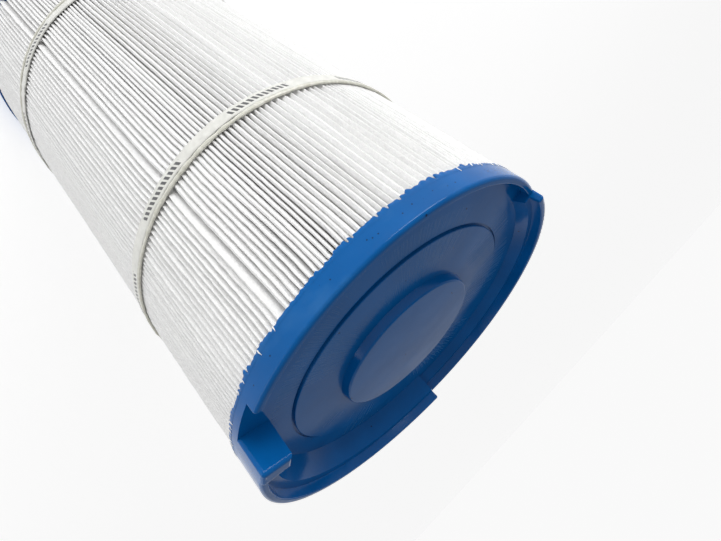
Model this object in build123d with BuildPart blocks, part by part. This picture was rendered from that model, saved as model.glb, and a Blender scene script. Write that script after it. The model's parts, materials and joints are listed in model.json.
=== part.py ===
from build123d import *
from math import cos, degrees, radians, sin
import os

# Pleated filter cartridge, standing on its open end. The axis is Z, the closed cap is at the top,
# and the origin is the centre of the ring that the cartridge stands on. Millimetres.

# ---------------------------------------------------------------- driving dimensions
overall_length = 462.0          # 18 3/16 in, from the open end's face to the stop block's top
cap_radius = 113.5              # 8 15/16 in outside diameter
bore_radius = 58.75             # 4 5/8 in opening in the open end cap

# Closed cap: a floor with a ring wall that climbs in steps. Heights are above the pleats' ends.
floor_height = 6.3
step_rise = 6.9                 # each step's ledge is this much above the one before it
rim_height = 6.3                # thin outer rim above its own ledge
rim_thickness = 5.0
stop_height = 27.6
stop_inner_radius = 96.5
disc_radius = 81.5
disc_rise = 1.2
groove_width = 1.4              # narrow groove round the foot of the disc
groove_depth = 1.0
boss_radius = 50.0
boss_rise = 5.2
boss_draft = 15.0               # degrees
# Angles round the axis, in degrees from +X.
low_step_start = -168.0
low_step_end = -57.0
high_step_start = -44.0
high_step_end = 79.0
stop_span = 6.0
stop_edge_radius = 2.2
step_edge_radius = 1.2
# Radii of the ledges' inner edge at the floor and at the ledge.
middle_ledge_foot = 102.0
middle_ledge_edge = 105.0
high_ledge_foot = 97.0
high_ledge_edge = 102.4

# Open cap.
open_cap_height = 12.6
open_web_bottom = 3.0
hub_outer_radius = 68.0

# Perforated core.
core_outer_radius = 65.5
core_wall = 3.5
core_socket = 3.0               # how far the core's ends sit inside the caps
window_rows = 22
window_columns = 12
window_width = 20.0
window_height = 12.0

# Pleated media.
pleat_count = 216
fold_outer_radius = 112.8
fold_inner_radius = 68.0
media_thickness = 0.55
pleat_lean = 5.0                # degrees that each outer fold leans round past its inner fold
fold_width = 1.5

# Straps round the pleats.
strap_inner_radius = 113.0
strap_thickness = 0.7
strap_width = 8.4
strap_from_cap = 101.0          # nearest edge of the strap to the pleats' ends
bead_width = 2.8
bead_thickness = 1.0
overlap_angle = 14.0
overlap_middle = 120.0

# Seam of the media strip.
seam_depth = 9.0
seam_thickness = 0.8
seam_inset = 3.0                # how far its outer edge lies inside the folds
seam_pleat = 57

edge_radius = 2.0
small_radius = 0.8

# ---------------------------------------------------------------- heights that follow from them
media_bottom = open_cap_height
media_top = overall_length - stop_height
floor_z = media_top + floor_height
middle_ledge_z = floor_z + step_rise
high_ledge_z = floor_z + 2 * step_rise
rim_inner_radius = cap_radius - rim_thickness
core_inner_radius = core_outer_radius - core_wall
media_length = media_top - media_bottom


def polar(radius, angle):
    return (radius * cos(radians(angle)), radius * sin(radians(angle)))


def wall_section(inner_points, top_inner_radius, top, outer_round=0.0, inner_round=0.0):
    """Half section of a ring wall that stands on the floor, from its inner points to its top."""
    with BuildSketch(Plane.XZ) as section:
        with BuildLine():
            Polyline(
                *inner_points,
                (top_inner_radius, top),
                (cap_radius, top),
                (cap_radius, floor_z),
                close=True,
            )
        make_face()
        if outer_round > 0:
            fillet(section.vertices().group_by(Axis.Y)[-1].sort_by(Axis.X)[-1], outer_round)
            fillet(section.vertices().group_by(Axis.Y)[-1].sort_by(Axis.X)[0], inner_round)
    return section.sketch


def rim_section(inner_points, ledge_z):
    """Wall section whose outer edge is well rounded and whose inner edge is just broken."""
    top_inner_radius = rim_inner_radius + small_radius
    return wall_section(inner_points, top_inner_radius, ledge_z + rim_height, edge_radius, small_radius)


def ledge_points(foot_radius, ledge_radius, ledge_z):
    return [(foot_radius, floor_z), (ledge_radius, ledge_z), (rim_inner_radius, ledge_z)]


def ring_wall(section, start, end):
    """Wall that runs from the start angle to the end angle."""
    turned = section.rotate(Axis.Z, start)
    return revolve(turned, Axis.Z, revolution_arc=end - start, mode=Mode.PRIVATE)


def soften_end(ring, angle, top):
    """The ring with the top edge of its end face at that angle rounded."""
    with BuildPart() as softened:
        add(ring)
        end_top = Vector(*polar(cap_radius - rim_thickness / 2, angle), top)
        fillet(softened.edges().sort_by_distance(end_top)[0], step_edge_radius)
    return softened.part


# ---------------------------------------------------------------- closed end cap
low_section = rim_section([(rim_inner_radius, floor_z)], floor_z)
middle_section = rim_section(
    ledge_points(middle_ledge_foot, middle_ledge_edge, middle_ledge_z), middle_ledge_z
)
high_section = rim_section(
    ledge_points(high_ledge_foot, high_ledge_edge, high_ledge_z), high_ledge_z
)
stop_section = wall_section(
    [(stop_inner_radius, floor_z)], stop_inner_radius + small_radius, overall_length
)

# The high wall starts inside the stop block, so that the block keeps its own rounded free end.
low_ring = ring_wall(low_section, low_step_start, low_step_end)
middle_ring = soften_end(
    ring_wall(middle_section, high_step_end, low_step_start + 360),
    low_step_start,
    middle_ledge_z + rim_height,
)
high_ring = soften_end(
    ring_wall(high_section, high_step_start + stop_span / 2, high_step_end),
    high_step_end,
    high_ledge_z + rim_height,
)
stop_ring = ring_wall(stop_section, high_step_start, high_step_start + stop_span)

with BuildPart() as low_wall:
    add(low_ring)
    end_middle = Vector(*polar((rim_inner_radius + cap_radius) / 2, low_step_end), floor_z + rim_height / 2)
    end_face = low_wall.faces().sort_by_distance(end_middle)[0]
    fillet(end_face.edges().filter_by(Axis.Z), 1.5)

with BuildPart() as stop_block:
    add(stop_ring)
    free_end = Vector(*polar((stop_inner_radius + cap_radius) / 2, high_step_start), overall_length)
    upright_edges = stop_block.edges().filter_by(Axis.Z).sort_by_distance(free_end)
    fillet(upright_edges[:2], stop_edge_radius - 0.4)
    fillet(stop_block.edges().group_by(Axis.Z)[-1], stop_edge_radius)

with BuildPart() as closed_end_cap:
    with BuildSketch(Plane.XY.offset(media_top)):
        Circle(cap_radius)
    extrude(amount=floor_height)
    with BuildSketch(Plane.XY.offset(media_top)):
        Circle(core_outer_radius)
        Circle(core_inner_radius, mode=Mode.SUBTRACT)
    extrude(amount=core_socket, mode=Mode.SUBTRACT)
    with BuildSketch(Plane.XY.offset(floor_z)):
        Circle(disc_radius + groove_width)
        Circle(disc_radius, mode=Mode.SUBTRACT)
    extrude(amount=-groove_depth, mode=Mode.SUBTRACT)
    with BuildSketch(Plane.XY.offset(floor_z)):
        Circle(disc_radius)
    extrude(amount=disc_rise)
    fillet(closed_end_cap.edges().group_by(Axis.Z)[-1], 0.5)
    with BuildSketch(Plane.XY.offset(floor_z + disc_rise)):
        Circle(boss_radius)
    extrude(amount=boss_rise, taper=boss_draft)
    fillet(closed_end_cap.edges().group_by(Axis.Z)[-1], 1.2)
    add(low_wall.part)
    add(middle_ring)
    add(high_ring)
    add(stop_block.part)

# ---------------------------------------------------------------- open end cap
with BuildPart() as open_end_cap:
    with BuildSketch(Plane.XZ) as open_section:
        with BuildLine():
            Polyline(
                (bore_radius, open_cap_height),
                (bore_radius, 0),
                (hub_outer_radius, 0),
                (hub_outer_radius, open_web_bottom),
                (rim_inner_radius, open_web_bottom),
                (rim_inner_radius, 0),
                (cap_radius, 0),
                (cap_radius, open_cap_height),
                close=True,
            )
        make_face()
        foot_corners = open_section.vertices().group_by(Axis.Y)[0]
        fillet(foot_corners.sort_by(Axis.X)[-1], edge_radius)
        fillet(open_section.vertices().group_by(Axis.Y)[0].sort_by(Axis.X)[:3], small_radius)
    revolve(axis=Axis.Z)
    with BuildSketch(Plane.XY.offset(open_cap_height - core_socket)):
        Circle(core_outer_radius)
        Circle(core_inner_radius, mode=Mode.SUBTRACT)
    extrude(amount=core_socket, mode=Mode.SUBTRACT)

# ---------------------------------------------------------------- perforated core
core_bottom = open_cap_height - core_socket
core_length = media_length + 2 * core_socket
row_pitch = (media_length - 2 * window_height) / window_rows

with BuildPart() as core_tube:
    with BuildSketch(Plane.XY.offset(core_bottom)):
        Circle(core_outer_radius)
        Circle(core_inner_radius, mode=Mode.SUBTRACT)
    extrude(amount=core_length)
    for column in range(window_columns // 2):
        window_plane = Plane.XZ.rotated((0, 0, column * 360 / window_columns))
        with BuildSketch(window_plane):
            with Locations((0, media_bottom + media_length / 2)):
                with GridLocations(0, row_pitch, 1, window_rows):
                    Rectangle(window_width, window_height)
        extrude(amount=core_outer_radius + 1, both=True, mode=Mode.SUBTRACT)

# ---------------------------------------------------------------- pleated media


def arc_degrees(arc, radius):
    return degrees(arc / radius)


def pleat_outline(outer_radius, outer_width, inner_radius, inner_width):
    """Corner points of one skin of the folded strip, with its flat folds outside and inside."""
    pitch = 360 / pleat_count
    outer_half = arc_degrees(outer_width / 2, outer_radius)
    inner_half = arc_degrees(inner_width / 2, inner_radius)
    points = []
    for index in range(pleat_count):
        outer_angle = index * pitch + pleat_lean
        inner_angle = (index + 0.5) * pitch
        points.append(polar(outer_radius, outer_angle - outer_half))
        points.append(polar(outer_radius, outer_angle + outer_half))
        points.append(polar(inner_radius, inner_angle - inner_half))
        points.append(polar(inner_radius, inner_angle + inner_half))
    return points


outside_skin = pleat_outline(
    fold_outer_radius, fold_width, fold_inner_radius + media_thickness, fold_width - 2 * media_thickness
)
inside_skin = pleat_outline(
    fold_outer_radius - media_thickness, fold_width - 2 * media_thickness, fold_inner_radius, fold_width
)
with BuildPart() as pleated_media:
    with BuildSketch(Plane.XY.offset(media_bottom)):
        with BuildLine():
            Polyline(*outside_skin, close=True)
        make_face()
        with BuildLine():
            Polyline(*inside_skin, close=True)
        make_face(mode=Mode.SUBTRACT)
    extrude(amount=media_length)

# ---------------------------------------------------------------- seam of the media strip
# The strip stands in the middle of one gap between two pleats.
seam_angle = (seam_pleat + 0.5) * 360 / pleat_count
gap_foot = Vector(*polar(fold_inner_radius, seam_angle), media_bottom)
gap_mouth = Vector(*polar(fold_outer_radius, seam_angle + pleat_lean), media_bottom)
gap_direction = (gap_mouth - gap_foot).normalized()
seam_plane = Plane(
    origin=gap_mouth - gap_direction * (seam_inset + seam_depth / 2), x_dir=gap_direction, z_dir=(0, 0, 1)
)
with BuildPart() as media_seam_strip:
    with BuildSketch(seam_plane):
        Rectangle(seam_depth, seam_thickness)
    extrude(amount=media_length)

# ---------------------------------------------------------------- straps and their beads


def ring(bottom, height, inner, outer):
    with BuildPart() as band:
        with BuildSketch(Plane.XY.offset(bottom)):
            Circle(outer)
            Circle(inner, mode=Mode.SUBTRACT)
        extrude(amount=height)
    return band


def strap(bottom):
    """Strap that goes once round, with its end laid over its start."""
    strap_outer = strap_inner_radius + strap_thickness
    with BuildPart() as band:
        with BuildSketch(Plane.XY.offset(bottom)):
            Circle(strap_outer)
            Circle(strap_inner_radius, mode=Mode.SUBTRACT)
        extrude(amount=strap_width)
        with BuildSketch(Plane.XZ.rotated((0, 0, overlap_middle - overlap_angle / 2))):
            with BuildLine():
                Polyline(
                    (strap_outer - 0.1, bottom + 0.4),
                    (strap_outer + strap_thickness, bottom + 0.4),
                    (strap_outer + strap_thickness, bottom + strap_width - 0.4),
                    (strap_outer - 0.1, bottom + strap_width - 0.4),
                    close=True,
                )
            make_face()
        revolve(axis=Axis.Z, revolution_arc=overlap_angle)
    return band


upper_strap_bottom = media_top - strap_from_cap - strap_width
lower_strap_bottom = media_bottom + strap_from_cap
band_upper_strap = strap(upper_strap_bottom)
band_lower_strap = strap(lower_strap_bottom)
bead_outer = strap_inner_radius + bead_thickness
band_upper_bead = ring(upper_strap_bottom + strap_width, bead_width, strap_inner_radius, bead_outer)
band_lower_bead = ring(lower_strap_bottom - bead_width, bead_width, strap_inner_radius, bead_outer)

# ---------------------------------------------------------------- export
pieces = {
    "closed_end_cap": closed_end_cap,
    "open_end_cap": open_end_cap,
    "core_tube": core_tube,
    "pleated_media": pleated_media,
    "media_seam_strip": media_seam_strip,
    "band_upper_strap": band_upper_strap,
    "band_upper_bead": band_upper_bead,
    "band_lower_strap": band_lower_strap,
    "band_lower_bead": band_lower_bead,
}
os.makedirs("parts", exist_ok=True)
for piece_name, piece in pieces.items():
    piece.part.label = piece_name
    export_step(piece.part, f"parts/{piece_name}.step")
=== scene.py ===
import json
import math

import bpy
import numpy as np
from mathutils import Matrix, Vector

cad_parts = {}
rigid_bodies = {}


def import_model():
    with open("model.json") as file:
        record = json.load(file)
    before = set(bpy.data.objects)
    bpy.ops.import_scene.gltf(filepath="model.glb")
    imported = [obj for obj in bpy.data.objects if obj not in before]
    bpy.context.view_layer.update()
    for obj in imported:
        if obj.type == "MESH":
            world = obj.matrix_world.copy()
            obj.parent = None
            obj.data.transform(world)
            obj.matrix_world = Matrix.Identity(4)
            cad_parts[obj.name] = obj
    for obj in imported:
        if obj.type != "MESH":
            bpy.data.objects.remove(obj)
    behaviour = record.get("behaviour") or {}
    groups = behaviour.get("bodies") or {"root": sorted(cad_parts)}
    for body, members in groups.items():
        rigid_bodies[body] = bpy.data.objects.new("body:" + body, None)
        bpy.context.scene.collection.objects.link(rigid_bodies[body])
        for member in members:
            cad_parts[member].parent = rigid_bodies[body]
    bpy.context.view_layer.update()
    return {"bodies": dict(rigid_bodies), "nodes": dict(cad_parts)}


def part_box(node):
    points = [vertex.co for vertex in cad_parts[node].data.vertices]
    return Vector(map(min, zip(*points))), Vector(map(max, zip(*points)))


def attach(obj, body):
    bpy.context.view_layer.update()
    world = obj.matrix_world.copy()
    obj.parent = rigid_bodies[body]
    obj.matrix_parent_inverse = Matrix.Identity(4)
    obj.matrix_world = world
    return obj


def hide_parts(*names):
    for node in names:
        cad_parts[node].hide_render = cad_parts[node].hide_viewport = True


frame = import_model()

# Everything is in metres and radians. Angles go round +Z from +X, and FRONT is towards -Y.
MM = 0.001
FRONT = -math.pi / 2
SEED = 7
rng = np.random.default_rng(SEED)

media_low, media_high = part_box("pleated_media")
cap_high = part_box("closed_end_cap")[1]
core_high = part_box("core_tube")[1]

CAP_RADIUS = cap_high[0]
MEDIA_BOTTOM = media_low[2]
MEDIA_TOP = media_high[2]
TIP_RADIUS = CAP_RADIUS - 0.55 * MM
ROOT_RADIUS = core_high[0] + 2.6 * MM
PLEATS = 216
PITCH = 2 * math.pi / PLEATS
BELLY_DEPTH = 4.9 * MM              # how far below its fold a pleat is widest
WIDEST_BELLY = 2.3 * MM             # most that a pleat bulges to one side
GRIP_REACH = 11 * MM                # how far a cap or a strap holds the pleats still
FINE_ROWS_SPAN = 125 * MM           # length below the closed cap that has closer mesh rows
LEAN = math.radians(3.0)            # how far the folds lean round past their roots

BAND_SKIN = 0.6 * MM                # what lies this near the caps' outer radius is their outer band
PIT_LINE = 5.5 * MM                 # height of the line of pits above the pleats
PIT_LINE_HALF = 1.3 * MM            # and half its width

STRAPS = ("band_upper_strap", "band_lower_strap")
ROUND_COLUMNS = 1296                # mesh columns round a strap or a bead
BARS_AROUND = 230                   # printed bars there would be in a full turn
BAR_SLANT = 160.0                   # bars that a bar leans past in a metre of height
BAR_SHARE = 0.58                    # inked part of one bar and its gap
BAR_GROUPS = 10                     # groups of bars in a turn
GROUP_SHARE = 0.52                  # printed part of one group and its gap
GROUP_START = math.radians(122)
PRINT_HALF = 1.8 * MM               # half the height of the printed row


# ---------------------------------------------------------------- helpers
def smooth_noise(shape, cell, generator):
    """Random field between -1 and 1 that changes smoothly over about cell steps along each axis. Axis 0
    wraps."""
    coarse = [max(2, int(round(n / c))) for n, c in zip(shape, cell)]
    knots = generator.uniform(-1, 1, coarse)
    field = knots
    for axis, count in enumerate(shape):
        wraps = axis == 0
        spans = coarse[axis] if wraps else coarse[axis] - 1
        at = np.arange(count) * spans / (count if wraps else count - 1)
        low = np.floor(at).astype(int)
        share = at - low
        share = share * share * (3 - 2 * share)
        high = (low + 1) % coarse[axis] if wraps else np.minimum(low + 1, coarse[axis] - 1)
        share = share.reshape([-1 if k == axis else 1 for k in range(field.ndim)])
        field = np.take(field, low, axis) * (1 - share) + np.take(field, high, axis) * share
    return field


def smooth_mesh(name, points, faces):
    mesh = bpy.data.meshes.new(name)
    mesh.from_pydata(points, [], faces)
    mesh.polygons.foreach_set("use_smooth", [True] * len(mesh.polygons))
    mesh.update()
    piece = bpy.data.objects.new(name, mesh)
    bpy.context.scene.collection.objects.link(piece)
    return piece


def ring_mesh(name, points):
    """Mesh of quads through points[column][row]. The last column joins the first."""
    columns, rows = points.shape[:2]
    index = np.arange(columns * rows).reshape(columns, rows)
    after = np.roll(index, -1, 0)
    quads = np.stack([index[:, :-1], after[:, :-1], after[:, 1:], index[:, 1:]], -1).reshape(-1, 4)
    return smooth_mesh(name, points.reshape(-1, 3), quads)


def cylinder_points(radius, angle, height):
    radius, angle, height = np.broadcast_arrays(radius, angle, height)
    return np.stack([radius * np.cos(angle), radius * np.sin(angle), height], -1)


def material(name, base, roughness, **sockets):
    """Principled material with its constants set on the shader's own sockets."""
    made = bpy.data.materials.new(name)
    made.use_nodes = True
    shader = made.node_tree.nodes["Principled BSDF"]
    shader.inputs["Base Color"].default_value = (*base, 1)
    shader.inputs["Roughness"].default_value = roughness
    for socket, value in sockets.items():
        shader.inputs[socket.replace("_", " ")].default_value = value
    return made, made.node_tree, shader


def node(tree, kind, inputs=(), **settings):
    made = tree.nodes.new(kind)
    for key, value in settings.items():
        setattr(made, key, value)
    for key, value in dict(inputs).items():
        if isinstance(value, bpy.types.NodeSocket):
            tree.links.new(value, made.inputs[key])
        else:
            made.inputs[key].default_value = value
    return made


def ramp(tree, factor, stops):
    """Colour ramp from (position, colour or grey) stops."""
    made = node(tree, "ShaderNodeValToRGB", {"Fac": factor})
    elements = made.color_ramp.elements
    while len(elements) < len(stops):
        elements.new(0.5)
    for element, (position, value) in zip(elements, stops):
        element.position = position
        element.color = (value, value, value, 1) if isinstance(value, (int, float)) else (*value, 1)
    return made.outputs["Color"]


def math_node(tree, operation, first, second=None):
    values = {k: v for k, v in enumerate((first, second)) if v is not None}
    return node(tree, "ShaderNodeMath", values, operation=operation).outputs[0]


def noise(tree, vector, scale, detail, distortion=0.0):
    inputs = {"Vector": vector, "Scale": scale, "Detail": detail, "Distortion": distortion}
    return node(tree, "ShaderNodeTexNoise", inputs).outputs["Fac"]


def mix_colour(tree, factor, first, second, blend="MIX"):
    made = node(tree, "ShaderNodeMix", data_type="RGBA", blend_type=blend)
    for key, value in (("Factor", factor), ("A", first), ("B", second)):
        socket = next(s for s in made.inputs if s.name == key and s.enabled)
        if isinstance(value, bpy.types.NodeSocket):
            tree.links.new(value, socket)
        else:
            socket.default_value = (*value, 1) if isinstance(value, tuple) else value
    return next(s for s in made.outputs if s.name == "Result" and s.enabled)


def object_position(tree):
    return node(tree, "ShaderNodeTexCoord").outputs["Object"]


# ---------------------------------------------------------------- materials
def polyurethane():
    """Blue cast polyurethane: glossy, with faint mottling, fine streaks out from the axis with a painted
    reflection along them, dull haze on the outer band, and broken bubbles whose pits hold painted shade."""
    made, tree, shader = material(
        "blue_polyurethane", (0.001, 0.1, 0.34), 0.12, Specular_IOR_Level=0.15
    )
    position = object_position(tree)
    parts = node(tree, "ShaderNodeSeparateXYZ", {"Vector": position}).outputs
    squares = [math_node(tree, "MULTIPLY", parts[key], parts[key]) for key in ("X", "Y")]
    radius = math_node(tree, "SQRT", math_node(tree, "ADD", *squares))
    angle = math_node(tree, "ARCTAN2", parts["Y"], parts["X"])
    cloud = noise(tree, position, 34.0, 5.0)
    colour = ramp(tree, cloud, [(0.32, (0.0008, 0.092, 0.315)), (0.68, (0.0014, 0.112, 0.375))])
    # Streaks left by the mould, out from the axis: rougher and slightly raised, with a painted reflection
    # along them as a lighter colour; clear between the boss and the rim, absent on both.
    streaks_at = node(tree, "ShaderNodeCombineXYZ",
                      {"X": math_node(tree, "MULTIPLY", radius, 30.0),
                       "Y": math_node(tree, "MULTIPLY", angle, 150.0),
                       "Z": math_node(tree, "MULTIPLY", parts["Z"], 8.0)}).outputs[0]
    streaks_and_painted_glint = noise(tree, streaks_at, 1.0, 4.0)
    streaks_and_painted_glint = ramp(tree, streaks_and_painted_glint, [(0.36, 0.0), (0.66, 1.0)])
    patches = noise(tree, position, 16.0, 1.0)
    on_floor = ramp(tree, math_node(tree, "MULTIPLY", radius, 9.0),
                    [(0.45, 0.0), (0.56, 1.0), (0.85, 1.0), (0.875, 0.0)])
    streaks_and_painted_glint = math_node(tree, "MULTIPLY", streaks_and_painted_glint, ramp(tree, patches, [(0.38, 0.1), (0.6, 1.0)]))
    streaks_and_painted_glint = math_node(tree, "MULTIPLY", streaks_and_painted_glint, on_floor)
    # Dull haze in patches on the outer band, where the mould held it.
    hazed = node(tree, "ShaderNodeMapping", {"Vector": position, "Scale": (1.0, 1.0, 2.2)}).outputs[0]
    haze = noise(tree, hazed, 26.0, 6.0)
    on_band = math_node(tree, "GREATER_THAN", radius, CAP_RADIUS - BAND_SKIN)
    haze = math_node(tree, "MULTIPLY", ramp(tree, haze, [(0.55, 0.0), (0.70, 1.0)]), on_band)
    grain = noise(tree, position, 1300.0, 2.0)
    swell = noise(tree, position, 75.0, 2.0)
    # Bubbles that broke at the surface: sparse small pits, dented in by the bump, with painted shade
    # darkening them.
    cells = node(tree, "ShaderNodeTexVoronoi", {"Vector": position, "Scale": 130.0}).outputs
    chosen = math_node(tree, "GREATER_THAN", node(
        tree, "ShaderNodeSeparateColor", {"Color": cells["Color"]}).outputs["Red"], 0.90)
    spot = math_node(tree, "LESS_THAN", cells["Distance"], 0.075)
    pit_and_painted_shade = math_node(tree, "MULTIPLY", chosen, spot)
    # More of them along the middle of the closed cap's outer band.
    cells = node(tree, "ShaderNodeTexVoronoi", {"Vector": position, "Scale": 330.0}).outputs
    spot = math_node(tree, "LESS_THAN", cells["Distance"], 0.13)
    from_line = math_node(tree, "ABSOLUTE", math_node(tree, "SUBTRACT", parts["Z"], MEDIA_TOP + PIT_LINE))
    on_line = math_node(tree, "MULTIPLY", math_node(tree, "LESS_THAN", from_line, PIT_LINE_HALF), on_band)
    pit_and_painted_shade = math_node(tree, "MAXIMUM", pit_and_painted_shade, math_node(tree, "MULTIPLY", spot, on_line))
    # Painted reflection: the streaks are lightened towards a pale grey-blue, as a glint along them.
    colour = mix_colour(tree, math_node(tree, "MULTIPLY", streaks_and_painted_glint, 0.30), colour, (0.05, 0.15, 0.33))
    colour = mix_colour(tree, math_node(tree, "MULTIPLY", haze, 0.30), colour, (0.06, 0.20, 0.43))
    # Painted shade: the pits are darkened almost to black, as the shade inside each hollow.
    colour = mix_colour(tree, math_node(tree, "MULTIPLY", pit_and_painted_shade, 0.9), colour, (0.001, 0.008, 0.035))
    tree.links.new(colour, shader.inputs["Base Color"])
    rough = math_node(tree, "ADD", math_node(tree, "MULTIPLY", cloud, 0.12), 0.07)
    rough = math_node(tree, "ADD", rough, math_node(tree, "MULTIPLY", streaks_and_painted_glint, 0.28))
    rough = math_node(tree, "ADD", rough, math_node(tree, "MULTIPLY", haze, 0.15))
    tree.links.new(rough, shader.inputs["Roughness"])
    height = math_node(tree, "ADD", math_node(tree, "MULTIPLY", swell, 1.1),
                       math_node(tree, "MULTIPLY", grain, 0.06))
    height = math_node(tree, "ADD", height, math_node(tree, "MULTIPLY", streaks_and_painted_glint, 0.35))
    height = math_node(tree, "SUBTRACT", height, math_node(tree, "MULTIPLY", pit_and_painted_shade, 1.5))
    bump = node(tree, "ShaderNodeBump", {"Height": height, "Strength": 0.16, "Distance": 0.0006})
    tree.links.new(bump.outputs["Normal"], shader.inputs["Normal"])
    return made


def spunbond():
    """White spunbond polyester: matted fibres, a soft sheen and faint cloudiness."""
    made, tree, shader = material(
        "spunbond_polyester", (0.86, 0.86, 0.845), 0.85, Specular_IOR_Level=0.25, Sheen_Weight=0.25,
        Sheen_Roughness=0.5,
    )
    position = object_position(tree)
    stretched = node(tree, "ShaderNodeMapping", {"Vector": position, "Scale": (1.0, 1.0, 0.35)}).outputs[0]
    fibres = noise(tree, stretched, 1500.0, 4.0, 1.6)
    cloud = noise(tree, position, 160.0, 4.0)
    tint = noise(tree, position, 9.0, 2.0)
    colour = ramp(tree, fibres, [(0.30, (0.80, 0.80, 0.80)), (0.62, (0.95, 0.95, 0.95))])
    clouded = math_node(tree, "MULTIPLY", cloud, 0.25)
    colour = mix_colour(tree, clouded, colour, (0.91, 0.91, 0.905), "MULTIPLY")
    colour = mix_colour(tree, math_node(tree, "MULTIPLY", tint, 0.10), colour, (0.86, 0.84, 0.78))
    tree.links.new(colour, shader.inputs["Base Color"])
    height = math_node(tree, "ADD", math_node(tree, "MULTIPLY", fibres, 0.6), cloud)
    bump = node(tree, "ShaderNodeBump", {"Height": height, "Strength": 0.5, "Distance": 0.0005})
    tree.links.new(bump.outputs["Normal"], shader.inputs["Normal"])
    return made


def hot_melt():
    """Cream hot-melt adhesive: glossy and lumpy."""
    made, tree, shader = material("hot_melt", (0.70, 0.69, 0.61), 0.26, Specular_IOR_Level=0.5)
    position = object_position(tree)
    lumps = noise(tree, position, 420.0, 3.0)
    colour = ramp(tree, lumps, [(0.35, (0.62, 0.615, 0.53)), (0.7, (0.77, 0.765, 0.69))])
    tree.links.new(colour, shader.inputs["Base Color"])
    bump = node(tree, "ShaderNodeBump", {"Height": lumps, "Strength": 0.35, "Distance": 0.0006})
    tree.links.new(bump.outputs["Normal"], shader.inputs["Normal"])
    return made


def strap_film():
    """Pale plastic strap, printed with a plain row of dark slanting bars."""
    made, tree, shader = material("strap_film", (0.84, 0.84, 0.80), 0.33, Specular_IOR_Level=0.5)
    position = object_position(tree)
    parts = node(tree, "ShaderNodeSeparateXYZ", {"Vector": position}).outputs
    angle = math_node(tree, "ARCTAN2", parts["Y"], parts["X"])
    mottle = noise(tree, position, 260.0, 4.0)
    colour = ramp(tree, mottle, [(0.3, (0.66, 0.66, 0.62)), (0.7, (0.77, 0.77, 0.73))])
    # A plain row of dark slanting bars fills just over half of each tenth of the way round.
    turn = math_node(tree, "MULTIPLY", angle, BARS_AROUND / (2 * math.pi))
    slanted = math_node(tree, "ADD", turn, math_node(tree, "MULTIPLY", parts["Z"], BAR_SLANT))
    bar = math_node(tree, "LESS_THAN", math_node(tree, "FRACT", slanted), BAR_SHARE)
    from_start = math_node(tree, "ADD", angle, GROUP_START)
    group = math_node(tree, "MULTIPLY", from_start, BAR_GROUPS / (2 * math.pi))
    in_group = math_node(tree, "LESS_THAN", math_node(tree, "FRACT", group), GROUP_SHARE)
    inked = math_node(tree, "MULTIPLY", bar, in_group)
    inked = math_node(tree, "MULTIPLY", inked, print_rows(tree, parts["Z"]))
    colour = mix_colour(tree, math_node(tree, "MULTIPLY", inked, 0.9), colour, (0.02, 0.022, 0.03))
    tree.links.new(colour, shader.inputs["Base Color"])
    bump = node(tree, "ShaderNodeBump", {"Height": mottle, "Strength": 0.25, "Distance": 0.0004})
    tree.links.new(bump.outputs["Normal"], shader.inputs["Normal"])
    return made


def print_rows(tree, height):
    """1 within the printed row of either strap, and 0 elsewhere."""
    rows = 0.0
    for strap in STRAPS:
        low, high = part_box(strap)
        middle = (low[2] + high[2]) / 2
        away = math_node(tree, "ABSOLUTE", math_node(tree, "SUBTRACT", height, middle))
        rows = math_node(tree, "ADD", rows, math_node(tree, "LESS_THAN", away, PRINT_HALF))
    return rows


def core_plastic():
    """Off-white moulded core: matt, slightly mottled, with fine lengthwise flow lines."""
    made, tree, shader = material("core_plastic", (0.78, 0.78, 0.75), 0.5)
    position = object_position(tree)
    drawn = node(tree, "ShaderNodeMapping", {"Vector": position, "Scale": (1.0, 1.0, 0.04)}).outputs[0]
    lines = noise(tree, drawn, 500.0, 3.0)
    colour = ramp(tree, lines, [(0.3, (0.73, 0.73, 0.70)), (0.7, (0.80, 0.80, 0.775))])
    tree.links.new(colour, shader.inputs["Base Color"])
    bump = node(tree, "ShaderNodeBump", {"Height": lines, "Strength": 0.2, "Distance": 0.0003})
    tree.links.new(bump.outputs["Normal"], shader.inputs["Normal"])
    return made


def pale_floor():
    return material(
        "pale_floor", (0.86, 0.86, 0.86), 0.9, Specular_IOR_Level=0.1, Emission_Color=(1, 1, 1, 1),
        Emission_Strength=0.55,
    )[0]


# ---------------------------------------------------------------- pleats
def bump_at(angle, centre, width):
    """Smooth bump of height 1 at centre degrees round from FRONT, which fades over about width degrees."""
    away = (angle - math.radians(centre) - FRONT + math.pi) % (2 * math.pi) - math.pi
    return np.exp(-((away / math.radians(width)) ** 2))


def fold_angles():
    """Angle of each outer fold: uneven, closer in some places, and here and there a wide gap."""
    angle = FRONT + np.arange(PLEATS) * PITCH
    step = 1 + rng.uniform(-0.11, 0.11, PLEATS)
    step += 0.42 * bump_at(angle, -31, 4.5) - 0.20 * bump_at(angle, -50, 9) - 0.20 * bump_at(angle, -3, 7)
    for centre in (-38, 12, 78, 121, 176, -96, -140):
        nearest = int(round(math.radians(centre) / PITCH)) % PLEATS
        step[nearest] += 0.85
    step *= PLEATS / step.sum()
    return FRONT + (np.cumsum(step) - step[0]) * PITCH


def grip(height):
    """1 at the caps and the straps, where the pleats are held, and 0 between them."""
    held = np.zeros_like(height)
    places = [MEDIA_BOTTOM, MEDIA_TOP]
    for strap in STRAPS:
        low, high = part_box(strap)
        places.append((low[2] + high[2]) / 2)
    for place in places:
        held = np.maximum(held, np.exp(-(((height - place) / GRIP_REACH) ** 2)))
    return held


def media_rows():
    """Heights of the mesh rows, closer together near the closed cap."""
    near = np.linspace(MEDIA_TOP, MEDIA_TOP - FINE_ROWS_SPAN, 29)
    far = np.linspace(near[-1], MEDIA_BOTTOM, 24)[1:]
    return np.concatenate([near, far])[::-1]


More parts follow.
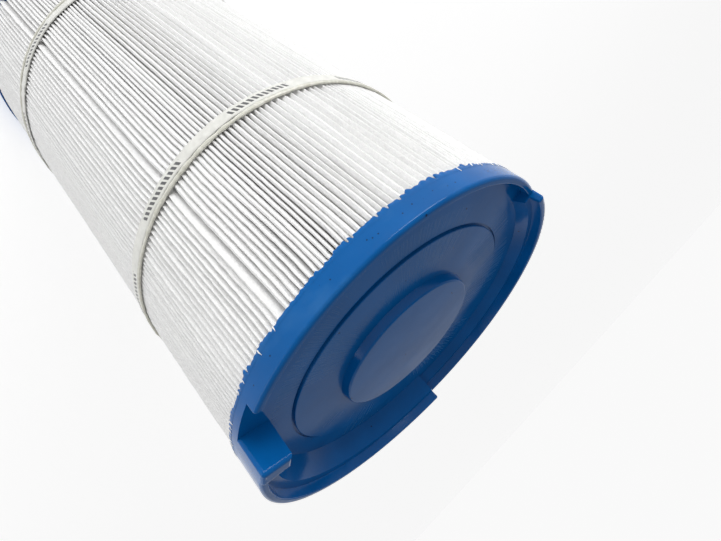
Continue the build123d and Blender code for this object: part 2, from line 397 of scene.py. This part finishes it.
def pleated_sheet():
    """One strip of cloth folded round the core. Each pleat bellies out below its fold, until it nearly
    touches the next one, so the gaps are narrow and shallow."""
    heights = media_rows()
    rows = len(heights)
    folds = fold_angles()
    step = np.diff(np.append(folds, folds[0] + 2 * math.pi))
    step_before = np.roll(step, 1)
    free = 1 - grip(heights)
    sway = smooth_noise((PLEATS, rows), (10, 20), rng) * 0.26
    sway = sway + smooth_noise((PLEATS, rows), (2, 12), rng) * 0.13
    beads = smooth_noise((PLEATS, rows), (1, 1), rng)
    tip_angle = folds[:, None] + sway * PITCH * (0.2 + 0.8 * free) + beads * PITCH * 0.035
    proud = smooth_noise((PLEATS, rows), (1, 7), rng) * 0.40 + beads * 0.13
    tip_radius = TIP_RADIUS + (proud * free - 0.42 - grip(heights) * 0.25) * MM
    crown = (0.50 + 0.10 * smooth_noise((PLEATS, rows), (1, 4), rng)) * MM
    belly_depth = BELLY_DEPTH * (0.74 + 0.40 * smooth_noise((PLEATS, rows), (1.3, 14), rng))
    closeness = 0.965 + 0.03 * smooth_noise((PLEATS, rows), (1.5, 10), rng)
    room_before = 0.5 * step_before[:, None] * (tip_radius - belly_depth)
    room_after = 0.5 * step[:, None] * (tip_radius - belly_depth)
    belly_before = np.minimum(room_before * closeness, WIDEST_BELLY)
    belly_after = np.minimum(room_after * closeness, WIDEST_BELLY)
    shoulder_before = 0.4 * crown + 0.6 * belly_before
    shoulder_after = 0.4 * crown + 0.6 * belly_after

    # (depth below the fold, half width there, side)
    profile = (
        (belly_depth, belly_before, -1), (0.43 * belly_depth, shoulder_before, -1), (0.5 * MM, crown, -1),
        (0.0, 0.5 * crown, -1), (0.0, 0.5 * crown, 1), (0.5 * MM, crown, 1),
        (0.43 * belly_depth, shoulder_after, 1), (belly_depth, belly_after, 1),
    )
    fold_depth = CAP_RADIUS - ROOT_RADIUS
    columns = []
    for depth, half, side in profile:
        radius = tip_radius - depth
        angle = tip_angle - LEAN * depth / fold_depth + side * half / tip_radius
        columns.append(cylinder_points(radius, angle, heights[None, :]))
    root_angle = folds[:, None] - LEAN + 0.5 * step[:, None] + 0 * tip_angle
    columns.append(cylinder_points(ROOT_RADIUS, root_angle, heights[None, :]))
    points = np.stack(columns, 1).reshape(PLEATS * len(columns), rows, 3)
    piece = ring_mesh("pleated_sheet", points)
    return piece, tip_angle[:, -1]


# ---------------------------------------------------------------- edge of the caps where the pleats go in
def potting_edge(name, tips, level, direction):
    """Thin uneven lip of resin that runs from a cap's wall a little way over the pleats, with a tongue on
    each fold and, here and there, a nick or a longer run."""
    per_pleat = 8
    columns = PLEATS * per_pleat
    share = (np.arange(columns) % per_pleat) / per_pleat
    pleat = np.arange(columns) // per_pleat
    ends = np.append(tips, tips[0] + 2 * math.pi)
    angle = ends[pleat] + (ends[pleat + 1] - ends[pleat]) * share
    on_fold = np.cos(math.pi * share) ** 2
    tongue = (rng.uniform(0, 1, PLEATS) > 0.45) * rng.uniform(0.35, 1, PLEATS)
    tongue *= np.clip(0.4 + 1.1 * smooth_noise((PLEATS, 2), (9, 1), rng)[:, 0], 0, 1)
    tongue = tongue[pleat] * (share < 0.5) + np.roll(tongue, -1)[pleat] * (share >= 0.5)
    runs = smooth_noise((columns, 2), (per_pleat * 5, 1), rng)[:, 0]
    ragged = smooth_noise((columns, 2), (per_pleat * 1.6, 1), rng)[:, 0]
    reach = 1.35 + 1.5 * np.sqrt(on_fold) * tongue + 0.80 * runs + 0.60 * ragged
    nick = np.repeat(rng.uniform(0, 1, PLEATS) > 0.88, per_pleat) & (abs(share - 0.5) < 0.2)
    reach = np.where(nick, 0.15, np.maximum(reach, 0.35)) * MM
    sink = (1 - on_fold) * 0.35 * MM
    rows = []
    for along, out in ((1.2, 0.05), (0.0, 0.14), (-0.5, 0.13), (-0.85, 0.02), (-1.0, -0.34)):
        down = -along * reach if along < 0 else 0 * reach - along * MM
        radius = CAP_RADIUS + out * MM - sink * max(-along, 0)
        rows.append(cylinder_points(radius, angle, level - direction * down))
    return ring_mesh(name, np.stack(rows, 1))


def fold_slivers(name, tips, level, direction):
    """Ends of folds that show as small white slivers where the resin ran thin over them."""
    crowded = bump_at(tips, 48, 26) + 0.7 * bump_at(tips, -47, 9) + 0.4 * bump_at(tips, 170, 30)
    shown = rng.uniform(0, 1, PLEATS) < 0.03 + 0.40 * crowded
    length = rng.uniform(0.7, 2.3, PLEATS) * MM
    half = rng.uniform(0.28, 0.52, PLEATS) * MM
    skew = rng.uniform(-0.5, 0.9, PLEATS) * MM
    points, faces = [], []
    for pleat in np.flatnonzero(shown):
        start = len(points)
        for share in (-0.8, 0.0, 0.5, 1.0):
            wide = half[pleat] * (1 - max(share, 0)) + 0.02 * MM
            height = level + direction * (share * length[pleat] if share > 0 else share * 1.3 * MM)
            for side, out in ((-1, 0.14), (0, 0.36), (1, 0.14)):
                angle = tips[pleat] + (side * wide + max(share, 0) * skew[pleat]) / CAP_RADIUS
                radius = CAP_RADIUS + (out - 0.1 * max(share, 0)) * MM
                points.append((radius * math.cos(angle), radius * math.sin(angle), height))
        faces += [(start + 3 * r + c, start + 3 * r + c + 1, start + 3 * r + c + 4, start + 3 * r + c + 3)
                  for r in range(3) for c in range(2)]
    return smooth_mesh(name, points, faces)


# ---------------------------------------------------------------- straps and beads
def strap_piece(name, node_name):
    """Strap round the folds, a little uneven in radius and along its edges."""
    low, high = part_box(node_name)
    rows = 7
    columns = ROUND_COLUMNS
    angle = np.linspace(0, 2 * math.pi, columns, endpoint=False)
    ripple = smooth_noise((columns, 2), (6, 1), rng)[:, :1] * 0.16 * MM
    across = np.linspace(0, 1, rows)[None, :]
    outer = CAP_RADIUS - 0.05 * MM + ripple + 0.12 * MM * np.sin(math.pi * across)
    edge = smooth_noise((columns, 2), (40, 1), rng)[:, :1] * 0.25 * MM
    height = low[2] + 0.2 * MM + (high[2] - low[2] - 0.4 * MM) * across + edge
    outside = cylinder_points(outer, angle[:, None], height)
    inside = cylinder_points(outer - 0.6 * MM, angle[:, None], height)[:, ::-1]
    points = np.concatenate([outside, inside, outside[:, :1]], 1)
    return ring_mesh(name, points)


def bead_piece(name, node_name):
    """Bead of hot melt, laid unevenly along the strap's edge."""
    low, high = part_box(node_name)
    around = 10
    columns = ROUND_COLUMNS
    angle = np.linspace(0, 2 * math.pi, columns, endpoint=False)[:, None]
    turn = np.linspace(0, 2 * math.pi, around + 1)[None, :]
    swell = 1 + 0.22 * smooth_noise((columns, 2), (10, 1), rng)[:, :1]
    swell = swell + 0.1 * smooth_noise((columns, 2), (3, 1), rng)[:, :1]
    drift = smooth_noise((columns, 2), (60, 1), rng)[:, :1] * 0.3 * MM
    middle = (low[2] + high[2]) / 2 + drift
    radius = CAP_RADIUS - 0.25 * MM + 0.85 * MM * swell * np.cos(turn)
    height = middle + 1.35 * MM * swell * np.sin(turn)
    return ring_mesh(name, cylinder_points(radius, angle, height))


# ---------------------------------------------------------------- the object
blue = polyurethane()
white = spunbond()
cream = hot_melt()
film = strap_film()
off_white = core_plastic()

for node_name, finish in (
    ("closed_end_cap", blue), ("open_end_cap", blue), ("core_tube", off_white), ("media_seam_strip", cream),
):
    cad = frame["nodes"][node_name]
    cad.data.materials.clear()
    cad.data.materials.append(finish)

body = next(iter(frame["bodies"]))
sheet, top_tips = pleated_sheet()
sheet.data.materials.append(white)
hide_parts("pleated_media")
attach(sheet, body)

for name, level, direction in (("closed_cap_lip", MEDIA_TOP, 1), ("open_cap_lip", MEDIA_BOTTOM, -1)):
    lip = potting_edge(name, top_tips, level, direction)
    lip.data.materials.append(blue)
    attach(lip, body)
    slivers = fold_slivers(name.replace("lip", "slivers"), top_tips, level, direction)
    slivers.data.materials.append(white)
    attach(slivers, body)

for side_name in ("upper", "lower"):
    strap = strap_piece(f"{side_name}_strap", f"band_{side_name}_strap")
    strap.data.materials.append(film)
    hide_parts(f"band_{side_name}_strap")
    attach(strap, body)
    bead = bead_piece(f"{side_name}_bead", f"band_{side_name}_bead")
    bead.data.materials.append(cream)
    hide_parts(f"band_{side_name}_bead")
    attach(bead, body)


# ---------------------------------------------------------------- floor, light and camera
LENS = 21.67                        # mm, from the camera that was fitted to the cap's circles
DOWN_TILT = math.radians(27.905)
ROLL = math.radians(132.258)


def floor_disc():
    rings = np.array([0.0001, 0.5, 2, 8, 40])[None, :]
    angle = np.linspace(0, 2 * math.pi, 64, endpoint=False)[:, None]
    floor = ring_mesh("floor", cylinder_points(rings, angle, -0.0005))
    floor.data.materials.append(pale_floor())


def area_light(name, place, target, width, tall, power):
    """Oval lamp, hidden from the camera. It stands clear of the floor, because where a lamp cuts the floor it
    leaves a hard line."""
    data = bpy.data.lights.new(name, "AREA")
    data.shape = "ELLIPSE"
    data.size = width
    data.size_y = tall
    data.energy = power
    lamp = bpy.data.objects.new(name, data)
    lamp.visible_camera = False
    bpy.context.scene.collection.objects.link(lamp)
    aim = Vector(target) - Vector(place)
    lamp.matrix_world = Matrix.Translation(place) @ aim.to_track_quat("-Z", "Y").to_matrix().to_4x4()


def soft_world():
    """White backdrop, with light that fades to grey overhead, which is what the cap's face mirrors."""
    world = bpy.data.worlds.new("studio")
    world.use_nodes = True
    tree = world.node_tree
    background = tree.nodes["Background"]
    direction = node(tree, "ShaderNodeTexCoord").outputs["Generated"]
    parts = node(tree, "ShaderNodeSeparateXYZ", {"Vector": direction}).outputs
    level = ramp(tree, parts["Z"], [(0.16, 0.93), (0.27, 0.42), (1.0, 0.40)])
    seen = node(tree, "ShaderNodeLightPath").outputs["Is Camera Ray"]
    level = mix_colour(tree, seen, level, (0.95, 0.95, 0.95))
    tree.links.new(level, background.inputs["Color"])
    background.inputs["Strength"].default_value = 1.0
    bpy.context.scene.world = world


def camera():
    """Close to the closed cap, in front of it, looking down at 28 degrees and rolled on its side."""
    data = bpy.data.cameras.new("camera")
    data.sensor_width = 36
    data.lens = LENS
    place = Vector((-0.0125, -0.2573, MEDIA_TOP + 0.0893))
    forward = Vector((0, math.cos(DOWN_TILT), -math.sin(DOWN_TILT)))
    right = Vector((1, 0, 0))
    up = right.cross(forward)
    turn = Matrix((right, up, -forward)).transposed().to_4x4()
    made = bpy.data.objects.new("camera", data)
    bpy.context.scene.collection.objects.link(made)
    made.matrix_world = Matrix.Translation(place) @ turn @ Matrix.Rotation(ROLL, 4, "Z")
    bpy.context.scene.camera = made


bpy.context.scene.view_settings.view_transform = "Standard"
floor_disc()
soft_world()
middle = (0, 0, MEDIA_TOP - 0.12)
area_light("key", (-1.15, -0.95, 0.30), middle, 1.1, 0.40, 10)
area_light("fill", (1.3, -0.8, 0.36), middle, 1.3, 0.50, 2.1)
camera()
